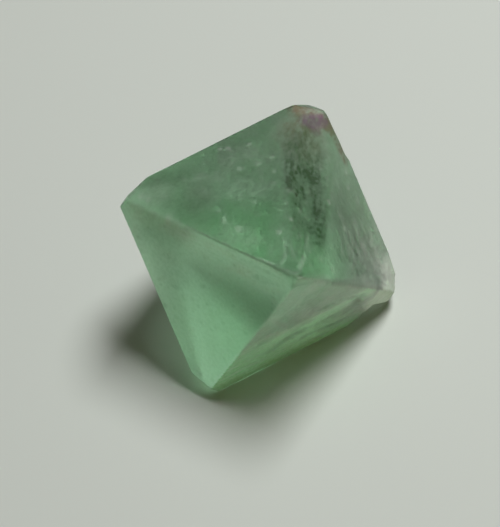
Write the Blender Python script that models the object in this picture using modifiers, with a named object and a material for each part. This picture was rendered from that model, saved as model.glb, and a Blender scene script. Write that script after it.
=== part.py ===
"""A cleaved fluorite octahedron, lying on one of its eight cleavage faces.

The crystal is one solid piece. It is modelled on its own cubic lattice: the lattice axes X, Y and Z
run from the centre to three of its six corners. Each corner has a letter:

    R and L are the two ends of lattice X,  T and B of lattice Y,  C and H of lattice Z.

A face is named by its three corners, so R-T-C is the face between R, T and C. The finished crystal
rests on R-B-H, with L-T-C level on top and corner C towards -Y.
"""

import math

import bmesh
import bpy
from mathutils import Matrix, Vector

MM = 0.001                                  # every length below is written in millimetres

# ---- driving dimensions ---------------------------------------------------------------------------
NAME = "fluorite_octahedron"
EDGE = 18.0                                 # edge of the unbroken octahedron
CORNER = EDGE / math.sqrt(2.0)              # centre to a sharp corner, 12.73
FACE = EDGE / math.sqrt(6.0)                # centre to a cleavage face, 7.35
RIDGE = EDGE / 2.0                          # centre to the middle of an edge, 9.0
BLOCK = 4.0 * CORNER                        # side of the cube that a block is cleaved from

EDGE_WEAR = 0.20                            # width of the rubbed band along every edge
WEAR_SEGMENTS = 2
SHARP_ANGLE = math.radians(8.0)             # gentler angles than this are left unrounded
CUTTER_FINENESS = 5                         # subdivisions of the round cutters

# ---- cleavage faces: corner signs, how far a face leans off its lattice plane, and its offset -------
# A face split by hand follows the lattice plane to about a degree, and none lies at quite the same
# distance from the centre. The resting face is the reference and leans nowhere.
CLEAVAGE_FACES = {
    "R-B-H": ((1, -1, -1), (0.000, 0.000, 0.000), 0.00),
    "L-T-C": ((-1, 1, 1), (-0.004, -0.010, 0.006), -0.01),
    "R-T-C": ((1, 1, 1), (0.000, -0.003, 0.003), 0.02),
    "R-T-H": ((1, 1, -1), (0.004, -0.003, 0.001), -0.03),
    "R-B-C": ((1, -1, 1), (0.008, 0.016, 0.008), -0.03),
    "L-B-C": ((-1, -1, 1), (-0.019, 0.007, -0.012), 0.02),
    "L-T-H": ((-1, 1, -1), (-0.017, -0.018, 0.000), 0.02),
    "L-B-H": ((-1, -1, -1), (-0.018, 0.017, 0.000), -0.04),
}

# ---- broken corners: direction of the break in the lattice and its distance from the centre --------
CORNER_BREAKS = {
    "T, crown": ((-0.16, 0.98, 0.04), 11.26),
    "T, shoulder on the R side": ((0.47, 0.88, 0.01), 10.68),
    "L": ((-0.90, 0.39, -0.17), 10.33),
    "B": ((-0.27, -0.96, -0.10), 11.12),
    "R, end": ((1.00, 0.02, -0.04), 11.14),
    "R, slope down the R-T edge": ((0.66, 0.53, 0.52), 8.09),
    "R, front": ((0.69, -0.44, 0.58), 8.27),
    "C": ((0.00, 0.00, 1.00), 12.25),
    "H": ((0.00, 0.00, -1.00), 12.15),
}

# ---- the long shell-shaped chip that has taken the T-C edge away ------------------------------------
SCOOP_MIDDLE = -0.4                         # along the edge, from its middle towards C
SCOOP_HALF_LENGTH = 11.9                    # half length of the egg-shaped cutter
SCOOP_RADIUS = 4.4                          # its radius across the edge
SCOOP_DEPTH = 1.45                          # how far it reaches below the sharp edge
SCOOP_TURN = math.radians(10.5)             # it bites deeper into the R-T-C side

# ---- a flake off the R-T edge, close to T, that ends in a slanted step ------------------------------
FLAKE_DEPTH = 0.20
FLAKE_STEP_FOOT = -3.80                     # along the edge, from its middle towards R
FLAKE_STEP_TOP = -3.00

# ---- a notch broken out under corner R: its apex on R-B-C, its two feet and the way it runs in ------
NOTCH_APEX = Vector((9.67, -1.28, 1.65))
NOTCH_FOOT_B = Vector((8.83, -3.86, -0.03))
NOTCH_FOOT_R = Vector((11.14, -0.82, 0.53))
NOTCH_RUN = Vector((0.00, 0.00, -1.00))

# ---- a shallow shell mark on R-B-C beside the broken corner R ---------------------------------------
MARK_PLACE = Vector((7.72, -0.94, 3.93))
MARK_FACE = Vector((1.0, -1.0, 1.0)).normalized()
MARK_RADIUS = 2.6                           # radius of the round cutter
MARK_DEPTH = 0.16


def collection(name):
    """A new collection in the scene."""
    made = bpy.data.collections.new(name)
    bpy.context.scene.collection.children.link(made)
    return made


def material(name, rgb, roughness, alpha):
    """A plain Principled material."""
    made = bpy.data.materials.new(name)
    made.use_nodes = True
    shader = made.node_tree.nodes["Principled BSDF"]
    shader.inputs["Base Color"].default_value = (*rgb, 1.0)
    shader.inputs["Roughness"].default_value = roughness
    shader.inputs["Metallic"].default_value = 0.0
    shader.inputs["IOR"].default_value = 1.434
    shader.inputs["Transmission Weight"].default_value = 1.0
    shader.inputs["Alpha"].default_value = alpha
    return made


def mesh_object(name, bm, target):
    """An object in a collection from a bmesh, which is freed."""
    mesh = bpy.data.meshes.new(name)
    bm.to_mesh(mesh)
    bm.free()
    made = bpy.data.objects.new(name, mesh)
    target.objects.link(made)
    return made


def cleave(bm, direction, distance):
    """Split the block along a plane, drop what lies beyond it and close the cut."""
    normal = Vector(direction).normalized()
    everything = bm.verts[:] + bm.edges[:] + bm.faces[:]
    cut = bmesh.ops.bisect_plane(
        bm,
        geom=everything,
        dist=1e-8,
        plane_co=normal * distance * MM,
        plane_no=normal,
        clear_outer=True,
    )
    rim = [item for item in cut["geom_cut"] if isinstance(item, bmesh.types.BMEdge)]
    if rim:
        bmesh.ops.edgeloop_fill(bm, edges=rim)


def cleaved_block(planes):
    """A cube cut down by a list of (direction, distance) planes."""
    bm = bmesh.new()
    bmesh.ops.create_cube(bm, size=BLOCK * MM)
    for direction, distance in planes:
        cleave(bm, direction, distance)
    bmesh.ops.remove_doubles(bm, verts=bm.verts[:], dist=1e-6)
    bmesh.ops.recalc_face_normals(bm, faces=bm.faces[:])
    return bm


def subtract(solid, cutter):
    """A Boolean that takes the cutter away from the crystal."""
    cutter.hide_render = True
    cutter.display_type = "WIRE"
    modifier = solid.modifiers.new(cutter.name, "BOOLEAN")
    modifier.operation = "DIFFERENCE"
    modifier.solver = "EXACT"
    modifier.object = cutter


def cleavage_planes():
    """The eight faces as planes in the lattice."""
    planes = []
    for signs, lean, offset in CLEAVAGE_FACES.values():
        direction = Vector(signs) + Vector(lean)
        planes.append((direction, FACE + offset))
    return planes


def round_cutter(name, centre, axes, target):
    """A ball stretched along three axes, given as the columns of a matrix."""
    bm = bmesh.new()
    bmesh.ops.create_icosphere(bm, subdivisions=CUTTER_FINENESS, radius=MM)
    bmesh.ops.transform(bm, matrix=axes.to_4x4(), verts=bm.verts[:])
    bmesh.ops.translate(bm, vec=centre * MM, verts=bm.verts[:])
    bmesh.ops.recalc_face_normals(bm, faces=bm.faces[:])
    return mesh_object(name, bm, target)


def scoop_cutter(target):
    """The egg-shaped cutter that lies along the T-C edge."""
    ridge = Vector((0.0, 1.0, 1.0)).normalized()
    along = Vector((0.0, -1.0, 1.0)).normalized()
    outward = Matrix.Rotation(-SCOOP_TURN, 3, along) @ ridge
    across = outward.cross(along)
    floor = ridge * (RIDGE - SCOOP_DEPTH) + along * SCOOP_MIDDLE
    columns = (across * SCOOP_RADIUS, along * SCOOP_HALF_LENGTH, outward * SCOOP_RADIUS)
    centre = floor + outward * SCOOP_RADIUS
    return round_cutter("scoop", centre, Matrix(columns).transposed(), target)


def flake_cutter(target):
    """The wedge that takes the flake off the R-T edge: a flat floor that ends in the step."""
    along = Vector((1.0, -1.0, 0.0)).normalized()
    outward = Vector((1.0, 1.0, 0.0)).normalized()
    run = FLAKE_STEP_TOP - FLAKE_STEP_FOOT
    step = (along * FLAKE_DEPTH - outward * run).normalized()
    step_point = along * FLAKE_STEP_TOP + outward * RIDGE
    planes = [
        (-outward, -(RIDGE - FLAKE_DEPTH)),
        (step, step_point.dot(step)),
    ]
    return mesh_object("flake", cleaved_block(planes), target)


def notch_cutter(target):
    """The wedge under corner R: two planes that meet in a crest through the apex."""
    planes = []
    for foot in (NOTCH_FOOT_B, NOTCH_FOOT_R):
        flank = (foot - NOTCH_APEX).cross(NOTCH_RUN).normalized()
        if flank.dot(Vector((-1.0, 1.0, 1.0))) < 0.0:
            flank.negate()
        planes.append((flank, NOTCH_APEX.dot(flank)))
    return mesh_object("notch", cleaved_block(planes), target)


def mark_cutter(target):
    """A large ball that only just dips into the R-B-C face."""
    centre = MARK_PLACE + MARK_FACE * (MARK_RADIUS - MARK_DEPTH)
    return round_cutter("mark", centre, Matrix.Identity(3) * MARK_RADIUS, target)


def rest_rotation():
    """Turns the lattice so that R-B-H faces down and corner C points to -Y."""
    down = Vector((1.0, -1.0, -1.0)).rotation_difference(Vector((0.0, 0.0, -1.0))).to_matrix()
    corner = down @ Vector((0.0, 0.0, 1.0))
    spin = math.radians(-90.0) - math.atan2(corner.y, corner.x)
    return Matrix.Rotation(spin, 3, "Z") @ down


def stand_on_floor(axes, solid):
    """Move the lattice so that the finished crystal's box stands centred on the origin."""
    bpy.context.view_layer.update()
    worn = solid.evaluated_get(bpy.context.evaluated_depsgraph_get())
    points = [worn.matrix_world @ vertex.co for vertex in worn.data.vertices]
    low = [min(point[i] for point in points) for i in range(3)]
    high = [max(point[i] for point in points) for i in range(3)]
    axes.location.x -= (low[0] + high[0]) / 2.0
    axes.location.y -= (low[1] + high[1]) / 2.0
    axes.location.z -= low[2]
    bpy.context.view_layer.update()


for old in list(bpy.data.objects):
    bpy.data.objects.remove(old, do_unlink=True)

crystal_collection = collection(NAME)
cutters = collection("cutters")

# The lattice axes: the crystal and every cutter are placed in them.
lattice = bpy.data.objects.new("lattice_axes", None)
lattice.empty_display_size = CORNER * MM
crystal_collection.objects.link(lattice)

# The crystal: eight cleavage faces, then the broken corners.
planes = cleavage_planes() + list(CORNER_BREAKS.values())
crystal = mesh_object(NAME, cleaved_block(planes), crystal_collection)
crystal.data.materials.append(material("green_fluorite", (0.30, 0.52, 0.36), 0.12, 0.35))

wear = crystal.modifiers.new("edge wear", "BEVEL")
wear.width = EDGE_WEAR * MM
wear.segments = WEAR_SEGMENTS
wear.limit_method = "ANGLE"
wear.angle_limit = SHARP_ANGLE

# The chips came after the wear, so their rims stay sharp.
chips = [
    scoop_cutter(cutters),
    flake_cutter(cutters),
    notch_cutter(cutters),
    mark_cutter(cutters),
]
for chip in chips:
    subtract(crystal, chip)

for child in [crystal] + chips:
    child.parent = lattice

lattice.rotation_mode = "QUATERNION"
lattice.rotation_quaternion = rest_rotation().to_quaternion()
lattice.location = Vector((0.0, 0.0, FACE * MM))
stand_on_floor(lattice, crystal)
print("lattice centre, mm:", [round(value / MM, 4) for value in lattice.location])
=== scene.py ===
# %% [markdown]
# # A fluorite octahedron on pale paper
# Fluorite splits cleanly in eight directions, and a crystal that is split on all of them is an
# octahedron. This one is pale green and see-through, rubbed along its edges and broken at its
# corners. It lies on one of its faces. The frame below holds the measured solid, which stays fixed.

# %% Load the frame
import math

import bpy
import numpy as np
from mathutils import Euler, Matrix, Quaternion, Vector, noise


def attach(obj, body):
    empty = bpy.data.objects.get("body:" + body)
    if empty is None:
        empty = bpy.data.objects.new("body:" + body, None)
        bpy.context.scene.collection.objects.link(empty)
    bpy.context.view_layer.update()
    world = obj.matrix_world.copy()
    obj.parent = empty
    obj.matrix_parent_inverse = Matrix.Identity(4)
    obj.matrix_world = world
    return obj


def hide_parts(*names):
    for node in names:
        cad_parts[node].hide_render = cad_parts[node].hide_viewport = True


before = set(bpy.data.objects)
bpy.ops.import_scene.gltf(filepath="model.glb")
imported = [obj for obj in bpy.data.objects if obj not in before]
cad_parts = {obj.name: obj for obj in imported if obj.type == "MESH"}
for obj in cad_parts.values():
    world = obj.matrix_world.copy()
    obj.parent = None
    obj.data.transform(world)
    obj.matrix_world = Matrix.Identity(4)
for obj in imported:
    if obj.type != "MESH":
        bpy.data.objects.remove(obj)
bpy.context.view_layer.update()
NODE = "fluorite_octahedron"
MM = 0.001

# %% [markdown]
# ## The crystal's own axes
# The three lattice axes run from the centre to the corners R, T and C. Every mark on the crystal is
# easier to place along them than along the room's axes, so one function turns lattice millimetres
# into metres in the room. Each axis is set by the compass angle it points to from above.

# %% Lattice axes
EDGE = 18.0                                  # edge of the unbroken octahedron, mm
CORNER = EDGE / math.sqrt(2.0)               # centre to a sharp corner
CENTRE = Vector((0.0279, -0.0164, 7.3485))   # where the centre lies in the room, mm


def corner_direction(angle, up):
    """The direction of a corner at a compass angle, high (up = 1) or low (up = -1)."""
    flat = math.sqrt(2.0 / 3.0)
    turn = math.radians(angle)
    return Vector((flat * math.cos(turn), flat * math.sin(turn), up / math.sqrt(3.0)))


AXIS_R = corner_direction(-30.0, -1.0)
AXIS_T = corner_direction(30.0, 1.0)
AXIS_C = corner_direction(-90.0, 1.0)
LATTICE = Matrix((AXIS_R, AXIS_T, AXIS_C)).transposed()


def at(r, t, c):
    """A point given in lattice millimetres, as metres in the room."""
    return (CENTRE + LATTICE @ Vector((r, t, c))) * MM


print("corner C is at", [round(v / MM, 2) for v in at(0, 0, CORNER)], "mm")

# %% [markdown]
# ## The camera
# A long lens a quarter of a metre away, looking down at about fifty degrees and rolled a little, so
# that the near top corner sits in the middle of the picture.

# %% Camera
CAMERA_TURN = math.radians(-12.12)           # from straight in front, towards the left
CAMERA_RISE = math.radians(50.55)            # above the table
CAMERA_ROLL = math.radians(-16.58)
CAMERA_AWAY = 250.0                          # mm from the crystal's centre
CAMERA_ASIDE = Vector((-0.908, -1.354))      # off the line to the centre, right and up, mm
LENS = 220.9                                 # focal length, mm
SENSOR = 36.0                                # width, mm
CLIP = (0.01, 20.0)                          # metres


def camera_axes():
    """Right, up and back, rolled about the line of sight."""
    ct, st = math.cos(CAMERA_TURN), math.sin(CAMERA_TURN)
    cr, sr = math.cos(CAMERA_RISE), math.sin(CAMERA_RISE)
    back = Vector((st * cr, -ct * cr, sr))
    level = Vector((ct, st, 0.0))
    upright = back.cross(level)
    roll = Matrix.Rotation(CAMERA_ROLL, 3, back)
    return roll @ level, roll @ upright, back


right, up, back = camera_axes()
camera = bpy.data.objects.new("camera", bpy.data.cameras.new("camera"))
bpy.context.scene.collection.objects.link(camera)
camera.data.lens = LENS
camera.data.sensor_width = SENSOR
camera.data.clip_start, camera.data.clip_end = CLIP
place = CENTRE + back * CAMERA_AWAY + right * CAMERA_ASIDE.x + up * CAMERA_ASIDE.y
camera.matrix_world = Matrix.Translation(place * MM) @ Matrix((right, up, back)).transposed().to_4x4()
bpy.context.scene.camera = camera
print("camera at", [round(v, 1) for v in place], "mm, lens", LENS, "mm")

# %% [markdown]
# ## Colours and nodes
# Colours are given as the hex values of a paint program and turned to linear light once. One small
# helper adds a shader node, sets its sockets and links it.

# %% Colour and node helpers


def linear(hex_colour):
    """An sRGB hex colour as linear RGBA."""
    channels = [int(hex_colour[i : i + 2], 16) / 255.0 for i in (1, 3, 5)]
    return (*[c / 12.92 if c <= 0.04045 else ((c + 0.055) / 1.055) ** 2.4 for c in channels], 1.0)


def add_node(tree, kind, settings=None, inputs=None):
    """Add a node. A socket given another socket is linked to it, and one given a value is set."""
    node = tree.nodes.new(kind)
    for name, value in (settings or {}).items():
        setattr(node, name, value)
    for name, value in (inputs or {}).items():
        if isinstance(value, bpy.types.NodeSocket):
            tree.links.new(value, node.inputs[name])
        else:
            node.inputs[name].default_value = value
    return node


def empty_material(name):
    """A material with an empty node tree and its output."""
    made = bpy.data.materials.new(name)
    made.use_nodes = True
    made.node_tree.nodes.clear()
    output = made.node_tree.nodes.new("ShaderNodeOutputMaterial")
    return made, made.node_tree, output


# %% [markdown]
# ## Paper and light
# The crystal lies on a sheet of pale paper. The light is one soft oval lamp high on the right, 10 by
# 19 cm and 35 cm away, so the shadow has a dark heart and a wide soft rim. The little light that
# fills the shadow comes back from the room. It is warmer, weak overhead and strongest low down, and
# there is more of it on the viewer's side.

# %% Paper
PAPER_HALF = 1.5                             # metres
PAPER_DROP = 0.00002                         # metres below the crystal, so the two never share a plane
PAPER_SHADE = "#DBE1DA"

bpy.ops.object.select_all(action="DESELECT")
bpy.ops.mesh.primitive_plane_add(size=2.0 * PAPER_HALF, location=(0.0, 0.0, -PAPER_DROP))
paper = bpy.context.active_object
paper.name = "paper"
paper_finish, tree, output = empty_material("drawing_paper")
shader = add_node(
    tree,
    "ShaderNodeBsdfPrincipled",
    inputs={"Base Color": linear(PAPER_SHADE), "Roughness": 0.9, "IOR": 1.45},
)
tree.links.new(shader.outputs[0], output.inputs["Surface"])
paper.data.materials.append(paper_finish)
print("paper laid")

# %% Lamp and room light
LAMP_DIRECTION = Vector((0.441, 0.048, 1.0)).normalized()
LAMP_AWAY = 0.346                            # metres
LAMP_WIDTH = 0.100
LAMP_LENGTH = 0.190
LAMP_TURN = math.radians(60.5)               # of the long side, about the line to the crystal
LAMP_POWER = 0.965                           # watts
ZENITH_LIGHT = 0.012
HORIZON_LIGHT = 0.50
HORIZON_FALL = 5.0                           # how fast it falls off with height
ROOM_SHADE = "#FFE49C"
BRIGHT_SIDE = (0.0, -1.0, 0.0)               # the side of the room towards the viewer is paler
SIDE_SHARE = 0.80                            # by this share of the mean, and the far side is as much darker

lamp_data = bpy.data.lights.new("window_lamp", "AREA")
lamp_data.shape = "ELLIPSE"
lamp_data.size = LAMP_WIDTH
lamp_data.size_y = LAMP_LENGTH
lamp_data.energy = LAMP_POWER
lamp = bpy.data.objects.new("window_lamp", lamp_data)
bpy.context.scene.collection.objects.link(lamp)
lamp.location = LAMP_DIRECTION * LAMP_AWAY
lamp.rotation_mode = "QUATERNION"
lamp.rotation_quaternion = LAMP_DIRECTION.to_track_quat("Z", "Y") @ Quaternion((0, 0, 1), LAMP_TURN)

world = bpy.data.worlds.new("room")
world.use_nodes = True
tree = world.node_tree
direction = add_node(tree, "ShaderNodeTexCoord")
heights = add_node(tree, "ShaderNodeSeparateXYZ", inputs={"Vector": direction.outputs["Generated"]})
lowness = add_node(tree, "ShaderNodeMath", {"operation": "SUBTRACT"}, {0: 1.0, 1: heights.outputs["Z"]})
fall = add_node(tree, "ShaderNodeMath", {"operation": "POWER"}, {0: lowness.outputs[0], 1: HORIZON_FALL})
glow = add_node(
    tree,
    "ShaderNodeMapRange",
    inputs={"Value": fall.outputs[0], "To Min": ZENITH_LIGHT, "To Max": HORIZON_LIGHT},
)
nearness = add_node(
    tree,
    "ShaderNodeVectorMath",
    {"operation": "DOT_PRODUCT"},
    {0: direction.outputs["Generated"], 1: BRIGHT_SIDE},
)
side = add_node(
    tree,
    "ShaderNodeMapRange",
    inputs={
        "Value": nearness.outputs["Value"],
        "From Min": -1.0,
        "From Max": 1.0,
        "To Min": 1.0 - SIDE_SHARE,
        "To Max": 1.0 + SIDE_SHARE,
    },
)
level = add_node(tree, "ShaderNodeMath", {"operation": "MULTIPLY"}, {0: glow.outputs[0], 1: side.outputs[0]})
background = tree.nodes["Background"]
background.inputs["Color"].default_value = linear(ROOM_SHADE)
tree.links.new(level.outputs[0], background.inputs["Strength"])
bpy.context.scene.world = world
bpy.context.scene.view_settings.view_transform = "Standard"
print("lamp at", [round(v, 3) for v in lamp.location])

# %% [markdown]
# ## The crystal's skin
# The measured solid has flat faces and clean breaks, in a few large triangles. A copy of it is cut
# into a fine even grid by a voxel Remesh and laid back on the measured faces by a Shrinkwrap, so
# that wear and breakage can be real relief and not only shading.

# %% Fine copy of the solid
GRID = 0.12                                  # mm
WELD = 0.001                                 # mm, to close the solid's split corners first

bpy.ops.object.select_all(action="DESELECT")
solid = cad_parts[NODE]
crystal = bpy.data.objects.new("crystal", solid.data.copy())
bpy.context.scene.collection.objects.link(crystal)
crystal.data.materials.clear()
bpy.context.view_layer.objects.active = crystal
crystal.select_set(True)
bpy.ops.object.mode_set(mode="EDIT")
bpy.ops.mesh.select_all(action="SELECT")
bpy.ops.mesh.remove_doubles(threshold=WELD * MM)
bpy.ops.object.mode_set(mode="OBJECT")
remesh = crystal.modifiers.new("grid", "REMESH")
remesh.mode = "VOXEL"
remesh.voxel_size = GRID * MM
remesh.use_smooth_shade = True
bpy.ops.object.modifier_apply(modifier="grid")
settle = crystal.modifiers.new("settle", "SHRINKWRAP")
settle.target = solid
bpy.ops.object.modifier_apply(modifier="settle")
print("skin has", len(crystal.data.polygons), "faces")

# %% [markdown]
# ## Reading the skin
# Wear depends on place: a cleavage face is smooth and clear, an edge is rubbed, a broken corner is
# rough. How far a point lies below the nearest of the eight cleavage planes tells which it is, and
# how far it lies from the second nearest tells how close the next edge is.

# %% The eight cleavage faces
FACING = 0.998                               # cosine within which a flat counts as facing that way
WORN_DEPTHS = (0.01, 0.06)                   # mm lost where wear begins, and where it is complete
BROKEN_DEPTHS = (0.06, 0.16)                 # the same for a break
FACES = {
    "L-T-C": (-1, 1, 1),                     # level, on top
    "R-T-C": (1, 1, 1),                      # front right
    "L-B-C": (-1, -1, 1),                    # front left
    "R-B-C": (1, -1, 1),                     # overhangs in front
    "L-T-H": (-1, 1, -1),                    # straight behind, slopes up to the top face
    "R-T-H": (1, 1, -1),                     # overhangs behind, on the right
    "L-B-H": (-1, -1, -1),                   # overhangs behind, on the left
    "R-B-H": (1, -1, -1),                    # the face it rests on
}


def lattice_points(mesh):
    """Every vertex in lattice millimetres, one row each."""
    flat = np.empty(len(mesh.vertices) * 3)
    mesh.vertices.foreach_get("co", flat)
    return (flat.reshape(-1, 3) / MM - np.array(CENTRE)) @ np.array(LATTICE)


def cleavage_plane(signs):
    """The measured solid's largest flat that faces a lattice octant: its normal and distance."""
    ideal = np.array(signs) / math.sqrt(3.0)
    turned = np.array(LATTICE)
    flats = [face for face in solid.data.polygons if np.array(face.normal) @ turned @ ideal > FACING]
    widest = max(flats, key=lambda face: face.area)
    normal = np.array(widest.normal) @ turned
    middle = (np.array(widest.center) / MM - np.array(CENTRE)) @ turned
    return normal, float(normal @ middle)


def ramp(values, low, high):
    """0 below low, 1 above high, and a smooth rise between."""
    x = np.clip((values - low) / (high - low), 0.0, 1.0)
    return x * x * (3.0 - 2.0 * x)


points = lattice_points(crystal.data)
planes = [cleavage_plane(signs) for signs in FACES.values()]
depths = np.stack([distance - points @ normal for normal, distance in planes], axis=1)
nearest_face = depths.argmin(axis=1)
depths.sort(axis=1)
lost = depths[:, 0]                          # mm of crystal gone at each point
to_edge = depths[:, 1]                       # mm to the next cleavage plane
worn = ramp(lost, *WORN_DEPTHS)
broken = ramp(lost, *BROKEN_DEPTHS)
print("worn", round(float(worn.mean()), 3), "broken", round(float(broken.mean()), 3), "of the skin")

# %% [markdown]
# Marks are put on one by one, as spots and streaks at lattice places. Noise makes them uneven, drawn out
# along an edge where the real breakage runs that way. Specks are strewn by chance.

# %% Noise, spots, streaks and specks on the skin
NOISE_TURN = Euler((0.5, 0.9, 0.3)).to_matrix()   # so that no pattern lines up with the faces
SEED_SHIFT = 17.3                            # moves each pattern to fresh ground
SPECK_STRENGTH = (0.2, 1.0)
SPECK_RADIUS = (0.16, 0.36)                  # mm


def clouds(size, seed, octaves=3, along=None, stretch=1.0):
    """Soft noise from about -1 to 1 at every point, size in mm, drawn out by stretch along a line."""
    places = points @ np.array(NOISE_TURN)
    if along is not None:
        line = np.array(along) / np.linalg.norm(along) @ np.array(NOISE_TURN)
        places = places - np.outer(places @ line, line) * (1.0 - 1.0 / stretch)
    places = places / size + seed * SEED_SHIFT
    return np.array([noise.fractal(Vector(p), 1.0, 2.0, octaves) for p in places])


def streak(start, end, radius, soft=0.7):
    """1 along a line between two lattice places, falling to 0 at radius. Soft is the fall's share."""
    a, b = np.array(start), np.array(end)
    reach = max(float((b - a) @ (b - a)), 1e-9)
    along = np.clip((points - a) @ (b - a) / reach, 0.0, 1.0)
    away = np.linalg.norm(points - a - along[:, None] * (b - a), axis=1)
    return 1.0 - ramp(away, radius * (1.0 - soft), radius)


def spot(place, radius, soft=0.7):
    """1 at a lattice place, falling to 0 at radius."""
    return streak(place, place, radius, soft)


def marks(rows):
    """Many spots and streaks in one mask. A row is start, end or None, radius in mm, strength."""
    mask = np.zeros(len(points))
    for start, end, radius, strength in rows:
        mask += strength * streak(start, end or start, radius)
    return mask


chance = np.random.default_rng(11)


def specks(count, where):
    """Fine dots of many sizes and strengths, strewn over part of the skin."""
    mask = np.zeros(len(points))
    for index in chance.choice(np.flatnonzero(where), count):
        mask += chance.uniform(*SPECK_STRENGTH) * spot(points[index], chance.uniform(*SPECK_RADIUS))
    return mask


def paint(name, values):
    """Store one value per vertex on the crystal."""
    layer = crystal.data.attributes.new(name, "FLOAT", "POINT")
    layer.data.foreach_set("value", np.clip(values, 0.0, 1.0).astype(np.float32))
    print(name, "painted, mean", round(float(np.clip(values, 0.0, 1.0).mean()), 3))


# %% Streaks that follow the edges
RIDGE_LINE = (0.0, 1.0, -1.0)                # the T to C edge, beside which the scoop lies
LEFT_LINE = (1.0, 0.0, 1.0)                  # the L to C edge
RIGHT_LINE = (-1.0, 1.0, 0.0)                # the R to T edge
FRONT_LINE = (1.0, 1.0, 0.0)                 # the R to B edge

SCOOP_ENDS = ((0.0, 9.8, 1.6), (0.0, 1.6, 10.4))

mottle = clouds(1.2, 1)
fine = clouds(0.33, 2)
ridge_streaks = clouds(0.40, 4, along=RIDGE_LINE, stretch=5.0)
left_streaks = clouds(0.35, 5, along=LEFT_LINE, stretch=8.0)
right_streaks = clouds(0.40, 6, along=RIGHT_LINE, stretch=6.0)
front_streaks = clouds(0.40, 7, along=FRONT_LINE, stretch=8.0)
scoop = streak(*SCOOP_ENDS, 2.3, 0.5)
wide_scoop = streak(*SCOOP_ENDS, 3.0, 0.4)   # with its rims
print("scoop takes", round(float(scoop.mean()), 3), "of the skin")

# %% [markdown]
# ## Haze and frost
# A clear crystal is dulled in four ways. Handling rubs its edges. Its broken corners are rough. Knocks
# leave pale bruises. And every face carries a thin uneven haze of fine cleavage cracks, more on some
# faces than on others. A bright line at the foot of the front face is a painted highlight. All are
# painted as one value per vertex, like a painter's mask, called frost: 0 is clear and 1 is white.

# %% Painting the frost
FACE_HAZE = {
    "L-T-C": 0.022,
    "R-T-C": 0.022,
    "L-B-C": 0.020,
    "R-B-C": 0.160,
    "L-T-H": 0.020,
    "R-T-H": 0.020,
    "L-B-H": 0.020,
    "R-B-H": 0.020,
}
EDGE_FROST = 0.06
BREAK_FROST = 0.05

PALE_MARKS_AND_HIGHLIGHT = [
    # single pale spots on the top face and one on the left face
    ((-6.81, 2.80, 3.09), None, 0.36, 0.05),
    ((-5.24, 3.15, 4.30), None, 0.34, 0.06),
    ((-4.31, 1.32, 7.03), None, 0.42, 0.10),
    ((-6.05, 6.06, 0.63), None, 0.24, 0.15),
    ((-7.43, -2.74, 2.50), None, 0.34, 0.15),
    # beads along the right rim of the scoop
    ((1.41, 9.29, 1.90), None, 0.28, 0.10),
    ((1.69, 8.14, 2.82), None, 0.28, 0.08),
    ((1.80, 7.00, 3.85), None, 0.32, 0.08),
    ((1.91, 6.52, 4.29), None, 0.26, 0.08),
    ((2.19, 5.39, 5.19), None, 0.36, 0.16),
    # splinters beside the scoop, and feathers at its foot near corner C
    ((-1.05, 7.02, 4.19), (-0.89, 5.32, 5.74), 0.26, 0.08),
    ((0.47, 5.58, 5.01), None, 0.34, 0.06),
    ((0.60, 2.76, 8.24), (0.30, 1.50, 10.40), 0.22, 0.10),
    ((0.30, 1.50, 10.40), (-0.15, 0.66, 11.83), 0.30, 0.12),
    ((-1.37, 1.97, 9.32), (-1.20, 0.90, 10.50), 0.20, 0.07),
    ((-1.20, 0.90, 10.50), (-1.41, 0.36, 10.88), 0.28, 0.07),
    ((-2.42, 1.37, 8.87), (-2.15, 0.69, 9.81), 0.24, 0.05),
    ((-0.83, 1.68, 10.15), (-0.55, 1.10, 11.00), 0.16, 0.08),
    # a painted highlight at the worn foot of the front face: full white frost, brighter than wear, for the
    # glint of light that leaves the crystal along that edge
    ((0.89, -11.29, 0.67), (4.40, -7.90, 0.45), 0.22, 1.20),
    # the pale broken rim of corner T
    ((-1.30, 11.00, 0.50), (0.22, 11.29, 0.61), 0.80, 0.34),
    # a shell-shaped crack beside corner R
    ((5.83, -1.12, 5.65), (7.85, -0.08, 4.64), 0.24, 0.16),
    ((7.85, -0.08, 4.64), (8.64, -0.49, 3.44), 0.24, 0.16),
    # cloudy patches in the top face, the last ones at corner L
    ((-4.60, 5.60, 2.60), (-3.51, 4.27, 4.93), 2.80, 0.050),
    ((-6.90, 3.10, 2.80), (-3.40, 4.50, 4.80), 1.70, 0.055),
    ((-5.00, 0.80, 7.00), (-3.40, 1.00, 8.30), 1.30, 0.055),
    ((-7.00, 2.00, 3.60), None, 1.80, 0.030),
    ((-9.80, 1.30, 1.60), None, 1.80, 0.080),
    ((-10.40, -0.80, 1.20), None, 1.20, 0.060),
]
edge_rub = worn * ramp(-to_edge, -0.40, -0.10) * (1.0 - wide_scoop)
frost = np.array(list(FACE_HAZE.values()))[nearest_face] * (1.0 + mottle + 1.2 * fine)
frost += EDGE_FROST * edge_rub * (1.0 + 0.5 * fine)
frost += BREAK_FROST * broken * (1.0 - wide_scoop) * (1.0 + fine)
# the pale marks include the painted highlight at the foot of the front face
frost += marks(PALE_MARKS_AND_HIGHLIGHT) * (1.0 + 0.4 * fine)
print("haze, edges and bruises painted")

# %% [markdown]
# The right face grows greyer towards corner R, in streaks along its outer edge, and ends in a frosted
# facet and a pale broken chunk. The left face has a paler band below the top edge, combed by fine
# steps that follow the edge, and is frosted next to corner L. The edge itself, from L to C, is a
# little frosted, or it would show as a dark line. The lower half of the overhanging front face is
# cloudy and greener, and less so near corner R. The cloud is haze. The green is a painted glow, for
# the green light that passes through the crystal and comes out of that face.

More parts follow.
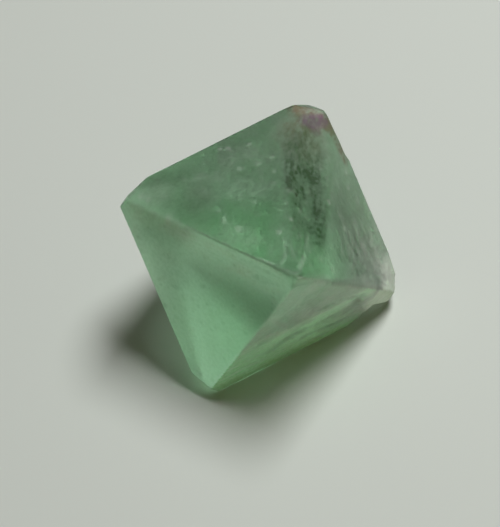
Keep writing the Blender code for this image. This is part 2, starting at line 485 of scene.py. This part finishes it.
# %% Veils on the side faces
RIGHT_VEIL = 0.13                            # frost of each part at its thickest
END_FACET = 0.44
BROKEN_CHUNK = 0.65
FACET_HALO = 0.07
RIGHT_STREAKS = 0.04
RIGHT_EDGE = 0.06
LEFT_BAND = 0.26
LEFT_CORNER = 0.16
LEFT_EDGE_LINE = 0.09
LOW_FRONT = 0.60
CLEARER_END = 0.6                            # share of the low front's frost that is lost near R

on_top = nearest_face == list(FACES).index("L-T-C")
on_right = nearest_face == list(FACES).index("R-T-C")
on_left = nearest_face == list(FACES).index("L-B-C")
on_front = nearest_face == list(FACES).index("R-B-C")
right_veil = on_right * ramp(points[:, 0] - 0.35 * points[:, 1], 1.0, 10.0)
frost += RIGHT_VEIL * right_veil * (1.0 + 0.4 * mottle + 0.8 * right_streaks)
frost += END_FACET * spot((10.3, 1.2, 0.8), 2.2, 0.6) * (1.0 + 0.3 * fine)
frost += BROKEN_CHUNK * spot((9.8, -0.6, 2.0), 1.7, 0.5) * (1.0 + 0.5 * fine)
frost += FACET_HALO * on_right * spot((8.6, 1.6, 2.2), 3.0, 0.9)
frost += RIGHT_STREAKS * on_right * right_streaks
frost += RIGHT_EDGE * streak((9.5, 0.0, 2.8), (1.5, 0.0, 10.7), 0.7, 0.6)
below_edge = ramp(-points[:, 1], -0.15, 0.10)
left_band = below_edge * streak((-6.9, -0.7, 5.1), (-1.8, -0.7, 10.2), 2.2, 0.7)
frost += LEFT_BAND * left_band * ramp(left_streaks, 0.0, 0.5)
frost += LEFT_CORNER * on_left * streak((-10.80, -0.60, 1.60), (-7.40, -0.80, 4.80), 1.40, 0.9)
frost += LEFT_EDGE_LINE * streak((-8.90, -0.05, 3.75), (-0.40, -0.05, 12.25), 0.30, 0.8)
low_front = on_front * ramp(-points[:, 2], -6.2, -3.9)
low_front *= 1.0 - CLEARER_END * spot((8.2, -1.4, 2.6), 3.6, 0.9)
frost += low_front * LOW_FRONT * (1.0 + 0.4 * mottle + 0.9 * front_streaks)
print("side veils painted")

# %% [markdown]
# ## Rubbing
# A second mask says how finely matt the skin is. The crystal was never polished, so even its clean
# faces blur what lies behind them, and the three other faces in front do so a little more than the
# top. The left one is more matt beside corner C and less so low down. Edges, breaks and most of all
# the scoop are rough.

# %% Painting the rub
FACE_RUB = {
    "L-T-C": 0.05,
    "R-T-C": 0.10,
    "L-B-C": 0.12,
    "R-B-C": 0.15,
    "L-T-H": 0.05,
    "R-T-H": 0.05,
    "L-B-H": 0.05,
    "R-B-H": 0.05,
}
NEAR_CORNER_RUB = 0.14
LOW_LEFT_RUB = -0.08
EDGE_RUB = 0.3
BREAK_RUB = 0.5
SCOOP_RUB = 0.7

rub = np.array(list(FACE_RUB.values()))[nearest_face] * (1.0 + 0.5 * mottle)
rub += NEAR_CORNER_RUB * on_left * streak((-2.84, -3.03, 6.95), (0.40, -4.20, 8.00), 2.4, 0.8)
rub += LOW_LEFT_RUB * on_left * streak((-2.90, -7.47, 2.42), (0.0, -10.0, 1.0), 3.0, 0.8)
rub += EDGE_RUB * edge_rub
rub += BREAK_RUB * broken * (1.0 - wide_scoop)
rub += SCOOP_RUB * wide_scoop
paint("rub", rub)

# %% [markdown]
# ## Stains, painted shade and painted glow
# Corner T is stained brown, with a purple zone just under its broken tip, and the broken ground in the
# scoop is dark, in blots and splinters that run along the ridge. Softer dark clouds lie here and
# there in the faces; those near corner L are painted shade, for the shadowed paper that shows through
# the crystal there. The grooves of the left band's steps are painted darker, as shade. Fine dark
# specks stand for dirt, and fine pale ones for pits and grazes. They are strewn by chance, from a
# fixed start, so every run gives the same ones. How deep the stains go can't be told from outside, so
# all of them are painted on the skin. The last mask holds places of a purer green, and on the low
# part of the overhanging front face a painted glow of the green light that comes out there.

# %% Painting the stains, the painted shade and the painted glow
BROWN_MARKS = [
    ((-1.85, 10.75, 0.30), (-0.40, 11.20, 0.60), 0.90, 0.35),
    ((-0.60, 10.60, 0.70), None, 2.8, 0.50),
    ((-0.79, 8.90, 2.40), None, 3.0, 0.62),
    ((1.00, 10.90, 0.70), (3.50, 8.60, 0.65), 0.9, 0.90),
]
PURPLE_MARKS = [
    ((-0.60, 10.40, 1.35), (0.75, 10.80, 0.85), 0.85, 0.80),
    ((0.29, 9.90, 1.45), None, 0.70, 0.45),
]
DARK_MARKS = [
    # the ground of the scoop: broad first, then its blots and splinters
    ((-0.10, 8.60, 2.40), (0.20, 3.40, 7.60), 2.60, 0.30),
    ((-0.80, 8.60, 2.60), (-0.60, 6.00, 5.00), 2.20, 0.14),
    ((-1.60, 8.20, 2.90), (-1.20, 5.80, 5.40), 1.20, 0.14),
    ((1.10, 7.80, 2.90), (1.60, 2.60, 8.40), 1.10, 0.24),
    ((0.68, 6.61, 4.01), None, 1.40, 0.20),
    ((-0.15, 6.90, 3.90), None, 1.20, 0.15),
    ((-0.41, 4.55, 6.33), (-0.25, 5.40, 5.40), 0.90, 0.22),
    ((1.08, 5.48, 5.11), (1.15, 4.75, 5.87), 0.60, 0.18),
    ((1.42, 4.30, 6.41), (1.49, 3.08, 7.91), 0.65, 0.24),
    ((0.64, 3.74, 7.00), (0.68, 2.84, 8.12), 0.60, 0.16),
    # beside its right rim, under the shell-shaped crack at corner R, at its foot, and on its left
    ((2.80, 8.00, 1.60), (3.40, 4.80, 4.00), 1.50, 0.19),
    ((6.60, -1.05, 4.95), (7.90, -0.65, 4.00), 0.45, 0.25),
    ((1.10, 2.39, 8.76), (1.58, 2.53, 8.64), 0.24, 0.45),
    ((-1.60, 7.20, 3.96), (-1.45, 5.67, 5.61), 0.40, 0.22),
]
# softer dark clouds, the first two of them painted shade
DARK_CLOUDS_AND_SHADE = [
    # painted shade near corner L, in the top face and then in the left face, for the shadowed paper that
    # shows through the crystal there
    ((-9.40, 1.70, 1.70), (-7.60, 2.20, 3.00), 2.60, 0.46),
    ((-8.80, -2.50, 1.60), (-6.30, -4.20, 2.20), 2.00, 0.22),
    # left of the scoop, and near corner R in the overhanging front face
    ((-1.95, 8.30, 2.40), (-1.66, 4.82, 6.23), 2.00, 0.15),
    ((7.80, -1.90, 2.90), (6.20, -3.60, 2.90), 1.80, 0.22),
    # close by corner L in the left face, and at the foot of the scoop
    ((-9.60, -0.90, 2.00), (-9.60, -2.00, 0.90), 1.00, 0.10),
    ((-0.32, 3.31, 7.76), (-0.33, 1.57, 10.30), 1.30, 0.22),
]
# painted shade: the grooves between the left band's steps have no relief, so they are painted darker
STEP_SHADE = 0.16                             # dark in the grooves of the left band
SPECKS = 150                                 # on a pair of faces
LEFT_SPECKS = 70                             # pale ones on the left face alone
DARK_SPECK = 0.20                            # strengths of a speck
PALE_SPECK = 0.17
LEFT_SPECK = 0.20
BROWN_FROST = 0.10                           # how far a stain also dulls the skin
PURPLE_FROST = 0.24
# painted glow: green on the low front face, for the light that comes out of the crystal there
LOW_FRONT_GLOW_GREEN = 0.60
RIGHT_GREEN = 0.12
TOP_GREEN = 0.36

brown = marks(BROWN_MARKS) * (1.0 + 0.5 * mottle + 0.5 * fine)
purple = marks(PURPLE_MARKS) * (1.0 + 0.5 * fine)
dark = marks(DARK_MARKS) * (1.0 + 0.5 * mottle + 0.5 * ridge_streaks + 0.5 * fine)
# the clouds by corner L are painted shade
dark += marks(DARK_CLOUDS_AND_SHADE) * (1.0 + 0.3 * mottle)
# painted shade in the grooves of the left band's steps
dark += STEP_SHADE * left_band * ramp(-left_streaks, 0.0, 0.5)
dark += DARK_SPECK * specks(SPECKS, on_top | on_left)
frost += BROWN_FROST * brown + PURPLE_FROST * purple
frost += PALE_SPECK * specks(SPECKS, on_top | on_right) + LEFT_SPECK * specks(LEFT_SPECKS, on_left)
away_from_r = 1.0 - spot((10.0, 0.0, 1.5), 3.5, 0.6)
# on the low front face this green is a painted glow of the light that leaves the crystal there
green = away_from_r * (LOW_FRONT_GLOW_GREEN * low_front + RIGHT_GREEN * on_right)
green += TOP_GREEN * on_top * streak((-4.40, 4.56, 3.75), (-2.54, 4.43, 5.74), 3.4, 0.8)
for name, mask in {"frost": frost, "brown": brown, "purple": purple, "dark": dark, "green": green}.items():
    paint(name, mask)

# %% [markdown]
# ## Relief
# Some parts are worn rounder than the rest: the scoop with its rims, corner C, the edge from R to C,
# and the edge from L to C where it starts at corner L. A Smooth modifier that a vertex group holds to
# them rubs them round. The breaks are then made uneven, in splinters that run along the scoop.

# %% Rounding the worn rims
RUBS = 110                                   # passes of the Smooth modifier
RUB_STEP = 0.5
RIGHT_EDGE_SHARE = 0.8                       # how round the R to C edge gets, against the others
LEAST_WEIGHT = 0.02                          # points below it stay out of the group

corner = spot((0.0, 0.0, 12.25), 1.3, 0.4)
right_edge_rim = streak((9.5, 0.0, 2.8), (0.0, 0.0, 12.2), 0.7, 0.6)
left_edge_rim = streak((-10.9, 0.0, 1.4), (-8.2, 0.0, 4.1), 1.0, 0.7)
rim_weights = np.clip(left_edge_rim + wide_scoop + RIGHT_EDGE_SHARE * right_edge_rim + corner, 0.0, 1.0)
rims = crystal.vertex_groups.new(name="rims")
for index in np.flatnonzero(rim_weights > LEAST_WEIGHT):
    rims.add([int(index)], float(rim_weights[index]), "REPLACE")
rounding = crystal.modifiers.new("rounding", "SMOOTH")
rounding.vertex_group = "rims"
rounding.factor = RUB_STEP
rounding.iterations = RUBS
bpy.ops.object.modifier_apply(modifier="rounding")
print("rims rounded")

# %% Uneven breaks
RIPPLE = 0.05                                # mm deep on a break
SPLINTER = 0.05                              # in the scoop
PITS = 0.012                                 # on the whole faces


def press_in(amount):
    """Move every point of the skin inwards by its amount in mm."""
    mesh = crystal.data
    normals = np.empty(len(mesh.vertices) * 3)
    mesh.vertices.foreach_get("normal", normals)
    places = np.empty(len(mesh.vertices) * 3)
    mesh.vertices.foreach_get("co", places)
    moved = places.reshape(-1, 3) - normals.reshape(-1, 3) * amount[:, None] * MM
    mesh.vertices.foreach_set("co", moved.ravel())
    mesh.update()


ripples = clouds(0.55, 3)
crumbs = clouds(0.45, 8, along=RIDGE_LINE, stretch=1.8)
relief = RIPPLE * broken * (1.0 - scoop) * (1.0 + ripples)
relief += SPLINTER * scoop * (1.0 + 0.5 * ridge_streaks + 0.5 * crumbs)
relief += PITS * (1.0 - broken) * (1.0 + fine)
press_in(relief)
print("breaks pressed in by up to", round(float(relief.max()), 3), "mm")

# %% [markdown]
# ## Fluorite
# Calcium fluoride, coloured green by traces of other elements. Its refractive index of 1.434 is low,
# so it glitters little. The colour is in the depth: every millimetre takes away more red and blue
# than green, which is an absorption and not a surface colour. The painted masks set how much of the
# skin is frosted, how matt it is, and where it is stained, and also where shade, a highlight and a
# green glow are painted into its colour. A fine grain breaks up the frost and gathers a little dirt.

# %% Crystal finish
FLUORITE_IOR = 1.434
BODY_COLOUR = (0.42, 0.785, 0.50, 1.0)        # with the depth below, what the light keeps
BODY_DEPTH = 88.0                            # per metre
CLEAR_ROUGHNESS = 0.36
RUBBED_ROUGHNESS = 0.75
GRAIN = 0.30                                 # mm, the coarsest part of the skin's grain
GRAIN_DETAIL = 3.0                           # each step adds grain of half the size
DUST = 0.14                                  # most dirt that the grain holds
DUST_RANGE = (0.38, 0.62)                    # grain over which the dirt sets in
SPECKLE_RANGE = (0.3, 0.7)                   # grain over which the frost varies
SPECKLE_SHARE = 0.3                          # by this share, up and down
# the colours laid over the skin: stains and frost, and also painted light. The dark colour lays painted
# shade near corner L and in the left band's grooves, the frost's white a painted highlight at the foot of
# the front face, and the green a painted glow on the low front face
STAINS_AND_PAINTED_LIGHT = {
    "frost": "#CCE0CC",
    "green": "#A4F4B8",
    "brown": "#98826C",
    "purple": "#8E6488",
    "dark": "#4C6444",
}

fluorite, tree, output = empty_material("green_fluorite")
place = add_node(tree, "ShaderNodeTexCoord")
grain = add_node(
    tree,
    "ShaderNodeTexNoise",
    inputs={"Vector": place.outputs["Object"], "Scale": 1.0 / (GRAIN * MM), "Detail": GRAIN_DETAIL},
)
masks = {}
for name in ["rub", *STAINS_AND_PAINTED_LIGHT]:
    masks[name] = add_node(tree, "ShaderNodeAttribute", {"attribute_name": name}).outputs["Fac"]
dust = add_node(
    tree,
    "ShaderNodeMapRange",
    inputs={
        "Value": grain.outputs["Fac"],
        "From Min": DUST_RANGE[0],
        "From Max": DUST_RANGE[1],
        "To Min": 0.0,
        "To Max": DUST,
    },
)
dusted = add_node(tree, "ShaderNodeMath", {"operation": "ADD"}, {0: masks["dark"], 1: dust.outputs[0]})
masks["dark"] = dusted.outputs[0]
colour = (1.0, 1.0, 1.0, 1.0)
for name, shade in STAINS_AND_PAINTED_LIGHT.items():
    layer = add_node(
        tree, "ShaderNodeMix", {"data_type": "RGBA"}, {0: masks[name], 6: colour, 7: linear(shade)}
    )
    colour = layer.outputs[2]
speckle = add_node(
    tree,
    "ShaderNodeMapRange",
    inputs={
        "Value": grain.outputs["Fac"],
        "From Min": SPECKLE_RANGE[0],
        "From Max": SPECKLE_RANGE[1],
        "To Min": 1.0 - SPECKLE_SHARE,
        "To Max": 1.0 + SPECKLE_SHARE,
    },
)
frosting = add_node(
    tree, "ShaderNodeMath", {"operation": "MULTIPLY"}, {0: masks["frost"], 1: speckle.outputs[0]}
)
clear = add_node(
    tree, "ShaderNodeMapRange", inputs={"Value": frosting.outputs[0], "To Min": 1.0, "To Max": 0.0}
)
roughness = add_node(
    tree,
    "ShaderNodeMapRange",
    inputs={"Value": masks["rub"], "To Min": CLEAR_ROUGHNESS, "To Max": RUBBED_ROUGHNESS},
)
shader = add_node(
    tree,
    "ShaderNodeBsdfPrincipled",
    inputs={
        "Base Color": colour,
        "Roughness": roughness.outputs[0],
        "IOR": FLUORITE_IOR,
        "Transmission Weight": clear.outputs[0],
    },
)
depth = add_node(tree, "ShaderNodeVolumeAbsorption", inputs={"Color": BODY_COLOUR, "Density": BODY_DEPTH})
tree.links.new(shader.outputs[0], output.inputs["Surface"])
tree.links.new(depth.outputs[0], output.inputs["Volume"])
crystal.data.materials.append(fluorite)
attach(crystal, "root")
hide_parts(NODE)
print("fluorite laid on")
